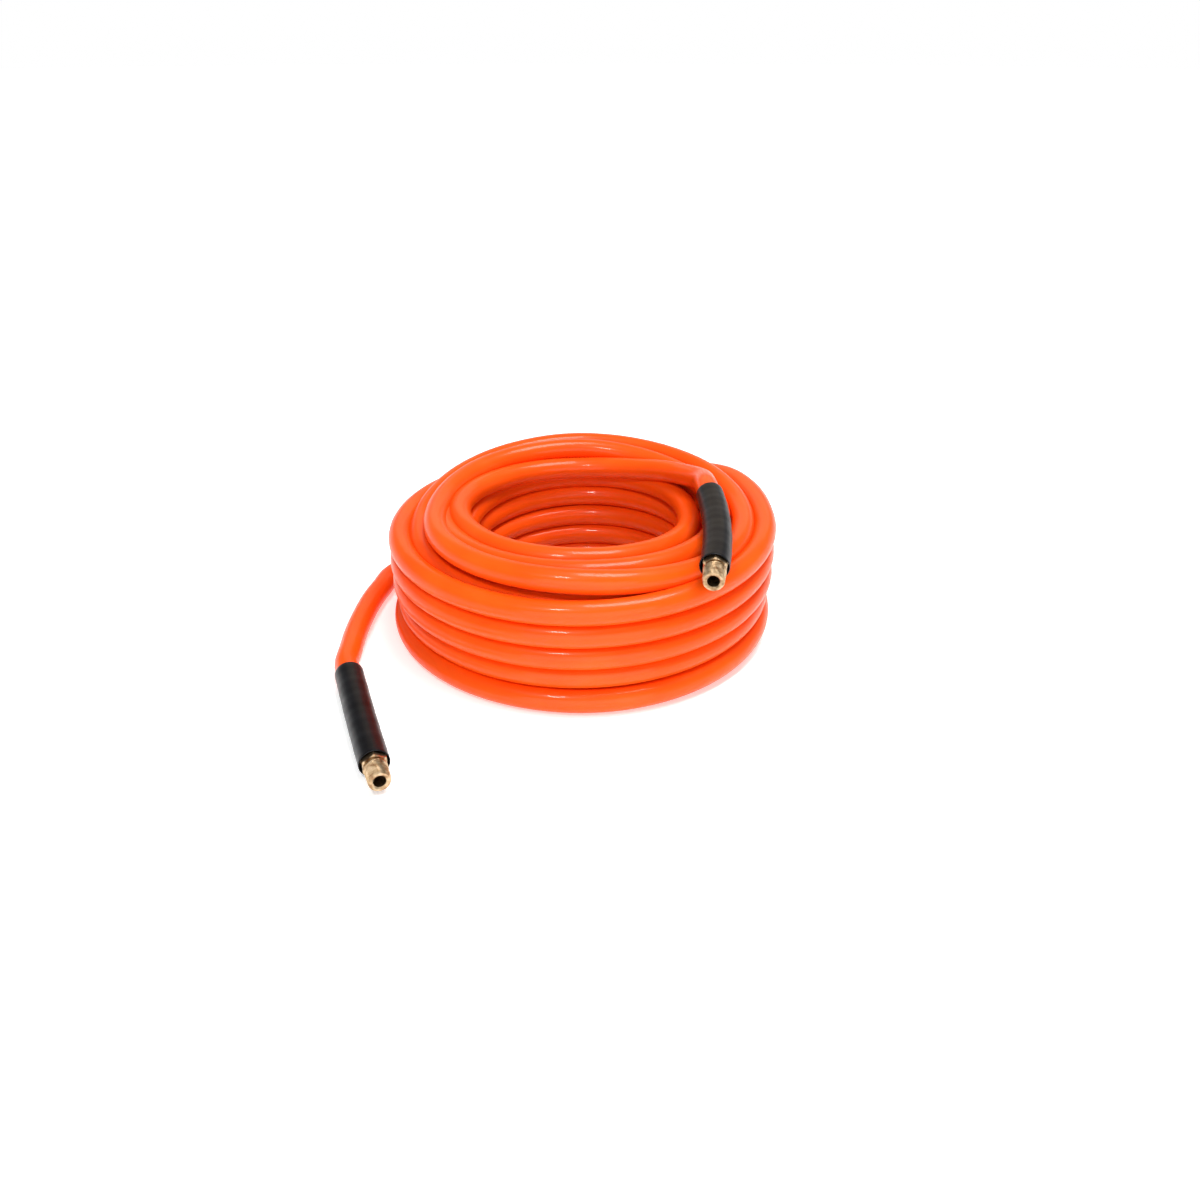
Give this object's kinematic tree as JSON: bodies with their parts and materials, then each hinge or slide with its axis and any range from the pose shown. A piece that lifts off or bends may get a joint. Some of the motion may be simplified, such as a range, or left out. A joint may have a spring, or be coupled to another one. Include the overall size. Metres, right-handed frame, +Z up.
{
  "type": "coiled air hose",
  "caption": "Flexible orange air hose wound in a flat round coil, with a brass male pipe fitting and a black bend-restrictor sleeve on each end.",
  "frame": {"origin": "under the middle of the whole object's box, on the surface it rests on", "axes": "+Z up, along the coil's axis; -Y to the front, where both fittings point; +X to the right, where the top fitting lies on the coil"},
  "size_m": [0.3021, 0.3632, 0.1111],
  "materials": {
    "hose_orange": "semi-gloss orange polymer hose cover with a faint braid impression",
    "black_vinyl": "semi-gloss black flexible vinyl",
    "brass": "machined brass, lightly bright",
    "inner_tube_black": "matt black inner tube",
    "braid_white": "white woven polyester yarn"
  },
  "bodies": {
    "coil": {"hose_coil": "hose_orange", "hose_lead": "hose_orange", "hose_tail_fixed": "hose_orange", "top_crimp_ferrule": "brass", "top_fitting_stem": "brass", "top_hose_inner_tube": "inner_tube_black", "top_hose_braid": "braid_white", "top_hose_cover": "hose_orange"},
    "loose_end": {"hose_tail_free": "hose_orange", "loose_crimp_ferrule": "brass", "loose_fitting_stem": "brass", "loose_hose_inner_tube": "inner_tube_black", "loose_hose_braid": "braid_white", "loose_hose_cover": "hose_orange"},
    "top_sleeve": {"top_bend_restrictor": "black_vinyl"},
    "loose_sleeve": {"loose_bend_restrictor": "black_vinyl"}
  },
  "joints": [
    {"name": "loose_end_swing", "type": "hinge", "parent": "coil", "child": "loose_end", "pos_m": [-0.13117, 0.06893, 0.008], "axis": [0, 0, -1], "range_deg": [-10, 25]},
    {"name": "top_sleeve_slide", "type": "hinge", "parent": "coil", "child": "top_sleeve", "pos_m": [-0.25718, -0.01132, 0.09937], "axis": [-0.0037, -0.0485, 0.9988], "range_deg": [0, 1.27]},
    {"name": "loose_sleeve_slide", "type": "slide", "parent": "loose_end", "child": "loose_sleeve", "axis": [-0.3364, 0.9417, 0], "range_m": [0, 0.008]}
  ]
}
